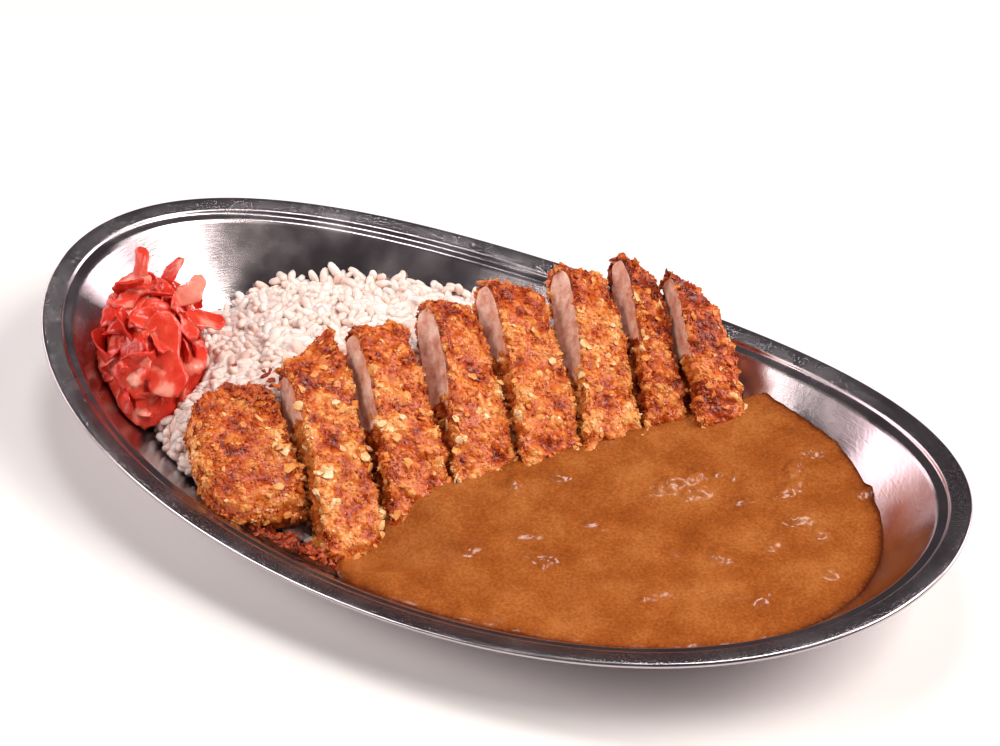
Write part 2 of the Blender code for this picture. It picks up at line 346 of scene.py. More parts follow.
cutlet = {
    # top where it leaves the sauce, far end, width near and far, how much further the far end
    # reaches on the right than in the middle, all in mm, then lean near and far in degrees
    "rows": (
        ((-42.2, -59.2, 23), (-69, -34, 37), 29.5, 27, 0, 14, 14),
        ((-13.5, -51.5, 14), (-53, -11, 43), 17, 18, 6.5, 14, 18),
        ((-3, -31, 16), (-38, 5, 46), 20, 16, 0, 14, 22),
        ((9, -13, 16), (-25.8, 27.2, 45), 20, 14.6, 0, 14, 30),
        ((22, 3, 16), (-14.3, 44.7, 45), 19.6, 17, -1.5, 14, 25),
        ((35, 18, 16), (2.2, 61.9, 45), 18.6, 14, -1.5, 14, 32),
        ((45, 33, 16), (15.8, 71.6, 46), 13, 10.5, -3.5, 13, 24),
        ((60, 43, 16), (38, 69.2, 44), 16, 17.5, -7.5, 14, 12),
    ),
    "thickness": 16.5 * mm,
    "bow": 1.6 * mm,
    "dip": 7.0 * mm,              # length that lies under the sauce
    "rounding": 3.0,              # power of the superellipse round a slice
    "swell": 0.8 * mm,            # crumb that stands out sideways near the sauce
    # How far down the cut meat still shows on each slice; below that the cut face is given crust, darker than meat, as
    # painted shade for the narrowing gap between slices
    "meatAbovePaintedShade": (0.9, 0.64, 0.50, 0.48, 0.62, 0.46, 0.56, 0.56),
    # Each slice's own paleness is partly frying and partly painted light, each slice set lighter or darker as it is lit
    "toastAndPaintedLight": (0.55, 0.61, 0.56, 0.57, 0.59, 0.65, 0.48, 0.40),   # paler when higher, slice by slice
    "outlinePoints": 290,
    "stations": 42,
    "crumbSize": 2.6 * mm,
    "crumbHeight": 1.15 * mm,
    "flakes": 3600,
    "grit": 22500,
    # centre and spread in mm, how many, how pale, smallest and largest in mm
    "fallen": (
        ((-62.5, -27, 34), (2.2, 1.6, 1.2), 34, 0.02, 1.4, 3.2),
        ((-66, -33, 35.5), (3.2, 2.2, 1.2), 90, 0.22, 1.2, 3.4),
        ((-60, -32, 36), (2.6, 2.4, 1.2), 70, 0.35, 1.2, 3.2),
        # The next three lie in the gap under slices 1 and 2; their near-black tone is partly painted shade
        ((-50, -62, 12), (3.0, 2.0, 1.0), 60, 0.02, 1.0, 3.0),
        ((-36, -63, 11), (5.0, 2.2, 1.0), 130, 0.02, 1.2, 3.4),
        ((-22, -62, 10), (3.5, 2.0, 1.2), 90, 0.10, 1.2, 3.2),
        ((-45, -42, 38), (1.2, 1.0, 0.8), 14, 0.75, 1.6, 4.2),
    ),
}


def sliceFrame(row):
    near, far, nearWidth, farWidth, skew, leanNear, leanFar = row
    near, far = np.array(near) * mm, np.array(far) * mm
    along = (far - near) / np.linalg.norm(far - near)
    near = near - along * cutlet["dip"]
    level = np.cross(along, [0, 0, 1.0])
    level /= np.linalg.norm(level)
    return {"near": near, "along": along, "length": np.linalg.norm(far - near), "level": level,
            "up": np.cross(level, along), "widths": (nearWidth * mm, farWidth * mm), "skew": skew * mm,
            "leans": (math.radians(leanNear), math.radians(leanFar))}


def slicePoints(pose, q, h, place):
    # q runs along the slice and h up it, both from -1 to 1; place runs across it
    share = 0.5 + 0.5 * q
    thick = cutlet["thickness"] * (0.94 + 0.12 * share)
    width = pose["widths"][0] + (pose["widths"][1] - pose["widths"][0]) * share
    width = width + cutlet["swell"] * np.clip(1 - 1.6 * share, 0, 1)
    height = -thick / 2 + h * thick / 2 + cutlet["bow"] * np.sin(math.pi * share)
    lean = pose["leans"][0] + (pose["leans"][1] - pose["leans"][0]) * share
    up = pose["up"] * np.cos(lean)[:, None] + pose["level"] * np.sin(lean)[:, None]
    across = pose["level"] * np.cos(lean)[:, None] - pose["up"] * np.sin(lean)[:, None]
    distance = pose["length"] / 2 * (1 + q) + share * place * pose["skew"]
    side = place * width / 2
    return pose["near"] + pose["along"] * distance[:, None] + up * height[:, None] + across * side[:, None]


def evenOutline(count):
    # Superellipse points spaced evenly, on a slice about four times as long as thick
    angle = np.linspace(0, 2 * math.pi, 4001)
    power = 2 / cutlet["rounding"]
    q = np.sign(np.cos(angle)) * np.abs(np.cos(angle)) ** power
    h = np.sign(np.sin(angle)) * np.abs(np.sin(angle)) ** power
    step = np.hypot(np.diff(q) * 4, np.diff(h))
    reach = np.concatenate([[0], np.cumsum(step)])
    wanted = np.linspace(0, reach[-1], count, endpoint=False)
    return np.interp(wanted, reach, q), np.interp(wanted, reach, h)


def makeSlice(index, crustMaterial, meatMaterial):
    pose = sliceFrame(cutlet["rows"][index])
    last = len(cutlet["rows"]) - 1
    count = cutlet["outlinePoints"]
    q, h = evenOutline(count)
    turn = np.linspace(-1, 1, cutlet["stations"])
    stations = np.sin(turn * math.pi / 2) * 0.5 + turn * 0.5
    if index in (0, last):
        stations = np.sin(turn * math.pi / 2)
    rings, meat, sides = [], [], []
    for place in stations:
        scale = 1 - 0.045 * abs(place) ** 10
        if (index == 0 and place < 0) or (index == last and place > 0):
            scale = max(0.03, (1 - abs(place) ** 2.3)) ** (1 / 2.6)
        rings.append(slicePoints(pose, q * scale, h * scale, np.full(count, place)))
        meat.append(np.zeros(count))
        sides.append(np.full(count, abs(place)))
    # The cut faces close each side: crust first, then meat in to the middle line
    lengthRatio = pose["length"] / cutlet["thickness"]
    spine = np.clip(q, -1 + 1 / lengthRatio, 1 - 1 / lengthRatio)
    edge = 0.955

    def cutFace(place):
        faceRings, faceMeat = [], []
        for inset in (0.04, 0.08, 0.12, 0.16, 0.20, 0.225, 0.29, 0.36, 0.44, 0.53, 0.63, 0.74, 0.87, 1.0):
            faceQ = q * edge * (1 - inset) + spine * edge * inset
            faceH = h * edge * (1 - inset)
            faceRings.append(slicePoints(pose, faceQ, faceH, np.full(count, place)))
            faceMeat.append(np.full(count, 1.0 if inset > 0.21 else 0.0))
        return faceRings, faceMeat, [np.ones(count)] * len(faceRings)

    if index != last:
        faceRings, faceMeat, faceSides = cutFace(1.0)
        rings, meat, sides = rings + faceRings, meat + faceMeat, sides + faceSides
    if index != 0:
        faceRings, faceMeat, faceSides = cutFace(-1.0)
        rings, meat, sides = faceRings[::-1] + rings, faceMeat[::-1] + meat, faceSides + sides
    rows = len(rings)
    faces = gridFaces(rows, count)
    if index == 0:
        faces.append(list(range(count))[::-1])
    if index == last:
        faces.append([(rows - 1) * count + i for i in range(count)])
    meat = np.concatenate(meat)
    faceMeat = np.array([min(meat[f[0]], meat[f[2]]) for f in faces])
    piece = makePiece("katsuSlice%d" % (index + 1), np.concatenate(rings), faces, [crustMaterial, meatMaterial],
                      {"meat": meat, "side": np.concatenate(sides)}, faceMeat > 0.5)
    shapeMesh = bmesh.new()
    shapeMesh.from_mesh(piece.data)
    bmesh.ops.remove_doubles(shapeMesh, verts=shapeMesh.verts, dist=0.02 * mm)
    bmesh.ops.recalc_face_normals(shapeMesh, faces=shapeMesh.faces)
    shapeMesh.to_mesh(piece.data)
    shapeMesh.free()
    return piece, pose


def roughenSlice(piece, pose, index):
    points, normals = meshPoints(piece), meshNormals(piece)
    meat = readAttribute(piece, "meat")
    seed = index * 3.7
    local = points - pose["near"]
    share = np.clip(local @ pose["along"] / pose["length"], 0, 1)
    # Towards the sauce the cut face is given crust instead of meat: painted shade for the narrow gaps between slices
    closed = share + 0.09 * softNoise(points, 3 * mm, seed + 8) < cutlet["meatAbovePaintedShade"][index]
    meat = np.where(closed, 0.0, meat)
    piece.data.attributes["meat"].data.foreach_set("value", meat.astype(np.float32))
    cut = np.array([all(meat[v] > 0.5 for v in face.vertices) for face in piece.data.polygons])
    piece.data.polygons.foreach_set("material_index", cut.astype(np.int32))
    # Meat: fibres run up the slice, over broad soft waves
    fibre = np.stack([local @ pose["along"] / 6, local @ pose["level"], local @ pose["up"] / 1.5], -1)
    fibres = softNoise(fibre, 1.1 * mm, seed) * 0.26 * mm + softNoise(points, 5 * mm, seed + 1) * 0.45 * mm
    # Crumb: broad waves, then big flakes, then grit
    crumbs = crumbNoise(points, cutlet["crumbSize"], seed)
    grit = crumbNoise(points, cutlet["crumbSize"] * 0.45, seed + 2)
    knobs = softNoise(points, 4.2 * mm, seed + 3)
    lift = (softNoise(points, 10 * mm, seed + 4) * 1.1 * mm + knobs * 1.3 * mm
            + (crumbs - 0.45) * cutlet["crumbHeight"] + (grit - 0.4) * 0.6 * mm)
    amount = np.where(meat > 0.5, fibres - 0.15 * mm, lift)
    moved = points + normals * amount[:, None]
    movePoints(piece, moved)
    # How pale each place is: the thin far edge browns first; hollows are painted darker and raised crumbs paler,
    # painted shade and painted light that follow the relief; the rest varies at random
    far = np.clip((share - 0.70) / 0.25, 0, 1)
    tone = (cutlet["toastAndPaintedLight"][index] + 0.34 * (crumbs - 0.5) + 0.34 * softNoise(points, 6.5 * mm, seed + 5)
            + 0.26 * knobs + 0.30 * (grit - 0.4) - 0.22 * far)
    layer = piece.data.attributes.new("tone", "FLOAT", "POINT")
    layer.data.foreach_set("value", np.clip(tone, 0, 1).astype(np.float32))


def flakeShapes(seed, count):
    # Broken bread flakes: a twenty-sided splinter with uneven corners
    maker = random.Random(seed)
    shapes = []
    for _ in range(count):
        lump = bmesh.new()
        bmesh.ops.create_icosphere(lump, subdivisions=1, radius=0.5)
        points = np.array([v.co * maker.uniform(0.45, 1.35) for v in lump.verts])
        faces = np.array([[v.index for v in f.verts] for f in lump.faces])
        lump.free()
        shapes.append((points, faces))
    return shapes


def gritShapes(seed, count):
    # Small crumbs: eight uneven sides
    maker = random.Random(seed)
    corners = np.array([(1, 0, 0), (-1, 0, 0), (0, 1, 0), (0, -1, 0), (0, 0, 1), (0, 0, -1)], float)
    faces = np.array([(0, 2, 4), (2, 1, 4), (1, 3, 4), (3, 0, 4), (2, 0, 5), (1, 2, 5), (3, 1, 5), (0, 3, 5)])
    shapes = []
    for _ in range(count):
        points = corners * 0.5 * np.array([[maker.uniform(0.6, 1.3)] for _ in corners])
        points += np.array([[maker.uniform(-0.14, 0.14) for _ in range(3)] for _ in corners])
        shapes.append((points, faces))
    return shapes


def crumbsOnCrust(maker, slices, total, small, spread, power):
    # Places by weight over the crust: most on top, more along the cuts, where the coat breaks
    places, normals, tones, lengths = [], [], [], []
    share = total / sum(1.6 if i == 0 else 1.0 for i in range(len(slices)))
    for index, (piece, pose) in enumerate(slices):
        points, outward = meshPoints(piece), meshNormals(piece)
        meat, tone, side = (readAttribute(piece, key) for key in ("meat", "tone", "side"))
        weight = (meat < 0.5) * np.clip(outward[:, 2] + 0.5, 0, 1) * np.where(side > 0.9, 1.5, 1.0)
        amount = int(share * (1.6 if index == 0 else 1.0))
        chosen = maker.choice(len(points), amount, replace=False, p=weight / weight.sum())
        big = maker.random(amount) ** power
        places.append(points[chosen] + outward[chosen] * 0.10 * mm)
        normals.append(outward[chosen])
        lengths.append(small + spread * big)
        # Each crumb takes the crust's tone where it lies, painted shade and painted light of the relief included, a
        # little paler, big ones paler still
        tones.append(np.clip(tone[chosen] + maker.normal(0.07, 0.14, amount) + 0.18 * big * (spread > 1 * mm), 0, 1))
    return [np.concatenate(values) for values in (places, normals, tones, lengths)]


def placeCrumbs(name, maker, shapes, places, normals, tones, lengths, thin, material):
    count = len(places)
    sizes = np.stack([lengths, lengths * maker.uniform(0.45, 0.9, count), lengths * maker.uniform(*thin, count)], -1)
    axes = turnedAxes(normals, maker.uniform(0, 2 * math.pi, count), np.abs(maker.normal(0, 0.42, count)))
    print("  %s: %d" % (name, count))
    return joinCopies(name, shapes, places, axes, sizes, tones, material, smooth=False)


def scatterFlakes(slices, material, plateTree):
    maker = np.random.default_rng(41)
    places, normals, tones, lengths = crumbsOnCrust(maker, slices, cutlet["flakes"], 1.1 * mm, 2.9 * mm, 2.6)
    # Crumbs that lie off the slices, some burnt, those fallen in the sauce, and near-black ones in the gap under the
    # first two slices, partly painted shade
    covers = [treeOf(piece) for piece, pose in slices]
    for centre, spread, amount, shade, low, high in cutlet["fallen"]:
        spot = np.array(centre) * mm + maker.normal(0, 1, (amount, 3)) * np.array(spread) * mm
        for p in spot:
            steel = heightUnder(plateTree, p[0], p[1])
            p[2] = max(p[2], (steel or 0) + 0.9 * mm)
            tops = [top for top in (heightUnder(tree, p[0], p[1]) for tree in covers) if top is not None]
            if tops:
                p[2] = min(p[2], max(tops) + 1.0 * mm)
        places = np.concatenate([places, spot])
        normals = np.concatenate([normals, np.tile([0.0, -0.3, 0.95], (amount, 1))])
        tones = np.concatenate([tones, np.clip(maker.normal(shade, 0.08, amount), 0, 1)])
        lengths = np.concatenate([lengths, maker.uniform(low, high, amount) * mm])
    return placeCrumbs("pankoFlakes", maker, flakeShapes(5, 16), places, normals, tones, lengths, (0.16, 0.40), material)


def scatterGrit(slices, material):
    maker = np.random.default_rng(43)
    places, normals, tones, lengths = crumbsOnCrust(maker, slices, cutlet["grit"], 0.55 * mm, 0.95 * mm, 1.8)
    return placeCrumbs("pankoGrit", maker, gritShapes(6, 24), places, normals, tones, lengths, (0.35, 0.8), material)


def friedCrumb(name):
    # Dried breadcrumb fried in oil: a matt, airy crumb from straw to red brown, darkest in
    # the thin edges, with an oily glint on some faces
    material, shader = startMaterial(name, {
        "Roughness": 0.40, "IOR": 1.47, "Subsurface Weight": 0.10, "Subsurface Scale": 0.0012,
        "Subsurface Radius": (1.0, 0.4, 0.15)})
    place = addNode(material, "ShaderNodeTexCoord")
    # On the slices the tone holds painted shade in the hollows and painted light on raised crumbs
    tone = addNode(material, "ShaderNodeAttribute", {"attribute_name": "tone"})
    # Crumb pores 0.4 mm across, colour drifts over 3 mm
    pores = addNode(material, "ShaderNodeTexNoise", {"Scale": 1400.0, "Detail": 4.0}, {"Vector": (place, "Object")})
    drift = addNode(material, "ShaderNodeTexNoise", {"Scale": 330.0, "Detail": 3.0}, {"Vector": (place, "Object")})
    sum1 = addNode(material, "ShaderNodeMath", {"operation": "MULTIPLY_ADD", 1: 0.62}, {0: (drift, "Fac"), 2: (tone, "Fac")})
    sum2 = addNode(material, "ShaderNodeMath", {"operation": "MULTIPLY_ADD", 1: 0.34}, {0: (pores, "Fac"), 2: (sum1, "Value")})
    level = addNode(material, "ShaderNodeMapRange", {"From Min": 0.45, "From Max": 1.50}, {"Value": (sum2, "Value")})
    colour = addNode(material, "ShaderNodeValToRGB", {"stops": (
        (0.0, "#70200D"), (0.18, "#AC3E14"), (0.36, "#CC6022"), (0.54, "#DE8238"), (0.72, "#EAA45A"), (0.88, "#F3C48A"),
        (1.0, "#FADDB4"))}, {"Fac": (level, "Result")})
    feed(material, shader, colour, "Color", "Base Color")
    gloss = addNode(material, "ShaderNodeMapRange", {"From Min": 0.35, "From Max": 0.65, "To Min": 0.12, "To Max": 0.44},
                    {"Value": (drift, "Fac")})
    feed(material, shader, gloss, "Result", "Roughness")
    bump = addNode(material, "ShaderNodeBump", {"Strength": 0.6, "Distance": 0.0004}, {"Height": (pores, "Fac")})
    feed(material, shader, bump, "Normal", "Normal")
    return material


def cookedChicken():
    # Boiled-through breast meat cut across: pale pinkish beige, damp, with fine fibres
    material, shader = startMaterial("cooked chicken", {
        "Roughness": 0.42, "IOR": 1.40, "Subsurface Weight": 0.25, "Subsurface Scale": 0.003,
        "Subsurface Radius": (1.0, 0.45, 0.3)})
    place = addNode(material, "ShaderNodeTexCoord")
    # Fibre bundles about 0.8 mm thick, drawn long across the cut
    fibre = addNode(material, "ShaderNodeMapping", {"Rotation": (0.0, 0.5, 0.75), "Scale": (260, 1100, 700)},
                    {"Vector": (place, "Object")})
    strands = addNode(material, "ShaderNodeTexNoise", {"Scale": 1.0, "Detail": 3.0}, {"Vector": (fibre, "Vector")})
    patch = addNode(material, "ShaderNodeTexNoise", {"Scale": 240.0, "Detail": 2.0}, {"Vector": (place, "Object")})
    both = addNode(material, "ShaderNodeMath", {"operation": "MULTIPLY_ADD", 1: 0.5},
                   {0: (strands, "Fac"), 2: (patch, "Fac")})
    colour = addNode(material, "ShaderNodeValToRGB", {"stops": (
        (0.48, "#C27D66"), (0.70, "#E2A68E"), (0.95, "#F4D0BC"))}, {"Fac": (both, "Value")})
    feed(material, shader, colour, "Color", "Base Color")
    bump = addNode(material, "ShaderNodeBump", {"Strength": 0.5, "Distance": 0.0004}, {"Height": (strands, "Fac")})
    feed(material, shader, bump, "Normal", "Normal")
    return material


# Rice: short grains over a core of the same rice

riceHeap = {
    "grainLength": 5.6 * mm,
    "grainWidth": 2.8 * mm,
    "grains": 2700,               # 70 triangles each
    "sunk": 1.2 * mm,             # the core lies this far under the heap's outline
    "spacing": 2.0 * mm,
    "clumpSize": 7.0 * mm,
    "clumpDepth": 2.9 * mm,
    "clearance": 0.2 * mm,        # between the lowest grains and the steel
}


def coreFrom(node, name, material, sunk, voxel):
    # A copy of a heap's solid, remeshed and shrunk, that fills what the loose pieces leave
    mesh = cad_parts[node].data.copy()
    piece = bpy.data.objects.new(name, mesh)
    bpy.context.scene.collection.objects.link(piece)
    mesh.materials.clear()
    mesh.materials.append(material)
    modifier = piece.modifiers.new("even", "REMESH")
    modifier.mode = "VOXEL"
    modifier.voxel_size = voxel
    graph = bpy.context.evaluated_depsgraph_get()
    piece.data = bpy.data.meshes.new_from_object(piece.evaluated_get(graph))
    piece.modifiers.clear()
    piece.data.materials.clear()
    piece.data.materials.append(material)
    piece.data.shade_smooth()
    points, normals = meshPoints(piece), meshNormals(piece)
    upward = np.clip(normals[:, 2] * 2 + 0.6, 0, 1)
    movePoints(piece, points - normals * (sunk * upward)[:, None])
    layer = piece.data.attributes.new("tone", "FLOAT", "POINT")
    layer.data.foreach_set("value", np.full(len(points), 0.55, np.float32))
    return piece


def grainShape():
    # A short-grain kernel: a blunt spindle, slightly bent
    rings, around = 6, 7
    points, faces = [(-0.5, 0, 0)], []
    for r in range(1, rings):
        turn = math.pi * r / rings
        x = -0.5 * math.cos(turn)
        radius = 0.5 * math.sin(turn) ** 0.8
        for k in range(around):
            angle = 2 * math.pi * k / around
            points.append((x, radius * math.cos(angle) + 0.10 * (x * 2) ** 2, radius * 0.86 * math.sin(angle)))
    points.append((0.5, 0.10, 0))
    points[0] = (-0.5, 0.10, 0)
    for k in range(around):
        n = (k + 1) % around
        faces.append((0, 1 + n, 1 + k))
        for r in range(rings - 2):
            a, b = 1 + r * around, 1 + (r + 1) * around
            faces.append((a + k, a + n, b + n))
            faces.append((a + k, b + n, b + k))
        a = 1 + (rings - 2) * around
        faces.append((a + k, a + n, len(points) - 1))
    return np.array(points), np.array(faces)


def surfaceSamples(node, count, maker, lowest=-0.1):
    # Random places on a solid's outer skin, by area, that face up or sideways
    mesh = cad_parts[node].data
    mesh.calc_loop_triangles()
    points = np.array([v.co for v in mesh.vertices])
    corners = np.array([t.vertices for t in mesh.loop_triangles])
    a, b, c = points[corners[:, 0]], points[corners[:, 1]], points[corners[:, 2]]
    normal = np.cross(b - a, c - a)
    area = np.linalg.norm(normal, axis=1)
    normal /= np.maximum(area, 1e-15)[:, None]
    weight = area * (normal[:, 2] > lowest)
    picked = maker.choice(len(corners), count, p=weight / weight.sum())
    u, v = maker.random(count), maker.random(count)
    fold = u + v > 1
    u[fold], v[fold] = 1 - u[fold], 1 - v[fold]
    place = a[picked] + (b - a)[picked] * u[:, None] + (c - a)[picked] * v[:, None]
    return place, normal[picked]


def spreadOut(places, normals, spacing, limit):
    # Keeps samples in order, dropping those too close to one already kept
    kept, cells = [], {}
    for i, p in enumerate(places):
        key = tuple((p / spacing).astype(int))
        close = False
        for dx in (-1, 0, 1):
            for dy in (-1, 0, 1):
                for dz in (-1, 0, 1):
                    for j in cells.get((key[0] + dx, key[1] + dy, key[2] + dz), ()):
                        if np.sum((places[j] - p) ** 2) < spacing * spacing:
                            close = True
        if not close:
            kept.append(i)
            cells.setdefault(key, []).append(i)
        if len(kept) >= limit:
            break
    return places[kept], normals[kept]


def clumpDepth(points):
    return np.clip(softNoise(points, riceHeap["clumpSize"], 3.0) * 1.5 + 0.35, 0, 1) * riceHeap["clumpDepth"]


def scatterRice(material, covers, plateTree):
    maker = np.random.default_rng(12)
    places, normals = surfaceSamples("rice", 40000, maker, 0.0)
    visible = []
    for p in places:
        above = min((hit for hit in (tree.ray_cast(Vector(p), Vector((0, 0, 1)), 0.05)[3] for tree in covers)
                     if hit is not None), default=1.0)
        visible.append(above > 4.0 * mm)
    visible = np.array(visible)
    places, normals = spreadOut(places[visible], normals[visible], riceHeap["spacing"], riceHeap["grains"])
    count = len(places)
    normals = normals + np.array([0, 0, 0.5])
    normals /= np.linalg.norm(normals, axis=1, keepdims=True)
    places = places - normals * (maker.uniform(0.5, 1.9, count) * mm + clumpDepth(places))[:, None]
    tilt = maker.normal(0, 0.60, count) * (places[:, 2] > 6 * mm)
    axes = turnedAxes(normals, maker.uniform(0, 2 * math.pi, count), tilt)
    size = maker.normal(1.0, 0.11, count)[:, None] * np.array(
        [[riceHeap["grainLength"], riceHeap["grainWidth"], riceHeap["grainWidth"]]])
    # How far each grain hangs below its middle, so that none goes through the steel
    hang = sum(size[:, i] / 2 * np.abs(axes[i][:, 2]) for i in range(3))
    for p, depth in zip(places, hang):
        steel = heightUnder(plateTree, p[0], p[1])
        p[2] = max(p[2], (steel or 0) + depth + riceHeap["clearance"])
    print("  rice grains:", count)
    return joinCopies("riceGrains", [grainShape()], places, axes, size, maker.random(count), material)


def boiledRice():
    # Steamed short-grain rice: starchy, translucent white with a sticky wet sheen
    material, shader = startMaterial("boiled rice", {
        "Roughness": 0.36, "IOR": 1.38, "Subsurface Weight": 0.45, "Subsurface Scale": 0.0012,
        "Subsurface Radius": (1.0, 0.90, 0.82)})
    place = addNode(material, "ShaderNodeTexCoord")
    tone = addNode(material, "ShaderNodeAttribute", {"attribute_name": "tone"})
    cloud = addNode(material, "ShaderNodeTexNoise", {"Scale": 420.0, "Detail": 2.0}, {"Vector": (place, "Object")})
    both = addNode(material, "ShaderNodeMath", {"operation": "MULTIPLY_ADD", 1: 0.5}, {0: (tone, "Fac"), 2: (cloud, "Fac")})
    colour = addNode(material, "ShaderNodeValToRGB", {"stops": (
        (0.35, "#EFCFC2"), (0.65, "#F4DCD2"), (1.0, "#FAEDE7"))}, {"Fac": (both, "Value")})
    feed(material, shader, colour, "Color", "Base Color")
    bump = addNode(material, "ShaderNodeBump", {"Strength": 0.15, "Distance": 0.0003}, {"Height": (cloud, "Fac")})
    feed(material, shader, bump, "Normal", "Normal")
    return material


# Pickles: thin red slices in a loose heap

pickleHeap = {
    "slices": 58,
    "thickness": 1.15 * mm,
    "across": 13,
    "along": 17,
    # Slices laid one by one: middle in mm, heading and tilt in degrees, length and width in mm, curl in mm
    "laid": (
        ((-92.0, -31.5, 35.5), -34, -40, 27, 13, 1.2),    # the large smooth one on the near side
        ((-118.0, -9.0, 43.0), 80, 66, 15, 7, -1.5),      # three that stand up
        ((-108.5, -6.0, 43.0), 62, 60, 14, 6.5, -1.2),
        ((-101.5, -7.0, 39.5), 80, 28, 13, 9, 1.5),
        ((-93.5, -10.5, 33.5), 24, -20, 13, 9, 0.8),        # a pointed one towards the rice
        ((-113.0, -32.0, 25.0), 150, -22, 17, 10, -2.0),
        ((-95.0, -38.5, 25.0), -36, -46, 16, 10, 1.2),
    ),
}


def pickleSlice(maker, length, width, curl, wave, thickness, ragged=0.10):
    # One leaf-like slice, bent along its length, with a wavy edge; a closed thin slab
    across, along = pickleHeap["across"], pickleHeap["along"]
    phase = maker.uniform(0, 6.28, 4)
    top = []
    for i in range(along):
        u = -1 + 2 * i / (along - 1)
        spread = (1 - abs(u) ** 2.6) ** 0.5 * (1 + 0.14 * math.sin(5 * u + phase[0]) + ragged * maker.uniform(-1, 1))
        for j in range(across):
            v = -1 + 2 * j / (across - 1)
            x = u * length / 2
            y = v * spread * width / 2 + 0.10 * length * math.sin(1.6 * u + phase[1])
            z = curl * (u * u) + wave * math.sin(2.6 * u + 1.8 * v + phase[2]) + 0.35 * curl * v * v * math.cos(phase[3])
            top.append((x, y, z))
    top = np.array(top).reshape(along, across, 3)
    normal = np.cross(np.gradient(top, axis=0), np.gradient(top, axis=1))
    normal /= np.maximum(np.linalg.norm(normal, axis=2, keepdims=True), 1e-12)
    edgeU = 1 - np.abs(np.linspace(-1, 1, along)) ** 6
    edgeV = 1 - np.abs(np.linspace(-1, 1, across)) ** 4
    slab = thickness * (0.25 + 0.75 * edgeU[:, None] * edgeV[None, :])
    crinkle = softNoise(top.reshape(-1, 3), 2.6 * mm, phase[0]).reshape(along, across) * 5 * ragged * mm
    top = top + normal * crinkle[..., None]
    upper = top + normal * slab[..., None] / 2
    lower = top - normal * slab[..., None] / 2
    faces = []
    base = along * across
    for i in range(along - 1):
        for j in range(across - 1):
            a, b, c, d = i * across + j, i * across + j + 1, (i + 1) * across + j + 1, (i + 1) * across + j
            faces += [(a, b, c, d), (base + d, base + c, base + b, base + a)]
    rim = ([(i, 0) for i in range(along)] + [(along - 1, j) for j in range(1, across)]
           + [(i, across - 1) for i in range(along - 2, -1, -1)] + [(0, j) for j in range(across - 2, 0, -1)])
    ids = [i * across + j for i, j in rim]
    for k, a in enumerate(ids):
        b = ids[(k + 1) % len(ids)]
        faces.append((a, b, base + b, base + a))
    return np.concatenate([upper.reshape(-1, 3), lower.reshape(-1, 3)]), faces


def makePickles(material):
    maker = np.random.default_rng(7)
    low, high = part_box("pickles")
    places, normals = surfaceSamples("pickles", 4000, maker, 0.05)
    places, normals = spreadOut(places, normals, 5.2 * mm, pickleHeap["slices"])
    vertices, faces, tones, start = [], [], [], 0

    def add(world, slabFaces, tone):
        world[:, 2] = np.clip(world[:, 2], low.z, high.z)
        vertices.append(world)
        faces.extend(tuple(v + sum(map(len, vertices[:-1])) for v in f) for f in slabFaces)
        tones.append(np.full(len(world), tone))

    for i, (place, normal) in enumerate(zip(places, normals)):
        length = maker.uniform(9, 16) * mm
        width = length * maker.uniform(0.40, 0.75)
        points, slabFaces = pickleSlice(maker, length, width, maker.normal(-1.8, 1.2) * mm,
                                        maker.uniform(0.3, 1.0) * mm, pickleHeap["thickness"])
        axes = turnedAxes(normal[None], np.array([maker.uniform(0, 6.28)]), np.array([maker.normal(0, 0.36)]))
        roll = maker.normal(0, 0.36)
        side = axes[1][0] * math.cos(roll) + axes[2][0] * math.sin(roll)
        up = axes[2][0] * math.cos(roll) - axes[1][0] * math.sin(roll)
        centre = place - normal * maker.uniform(1.0, 3.6) * mm
        world = centre + points[:, :1] * axes[0][0] + points[:, 1:2] * side + points[:, 2:] * up
        add(world, slabFaces, maker.random() * 0.8)
    for i, (centre, heading, tilt, length, width, curl) in enumerate(pickleHeap["laid"]):
        points, slabFaces = pickleSlice(maker, length * mm, width * mm, curl * mm, 0.4 * mm,
                                        pickleHeap["thickness"], 0.05)
        flat, rise = math.radians(heading), math.radians(tilt)
        long = np.array([math.cos(flat) * math.cos(rise), math.sin(flat) * math.cos(rise), math.sin(rise)])
        side = np.array([-math.sin(flat), math.cos(flat), 0.0])
        # The near ones lie against the heap's flank, turned to face out
        out = np.array([0.35, -0.75, 0.0]) if i in (0, 5, 6) else np.zeros(3)
        up = np.cross(long, side) + out * 0.9
        up -= long * (up @ long)
        up /= np.linalg.norm(up)
        side = np.cross(up, long)
        world = np.array(centre) * mm + points[:, :1] * long + points[:, 1:2] * side + points[:, 2:] * up
        add(world, slabFaces, 1.0 if i == 3 else 0.55)
    return makePiece("pickleSlices", np.concatenate(vertices), faces, [material], {"tone": np.concatenate(tones)})


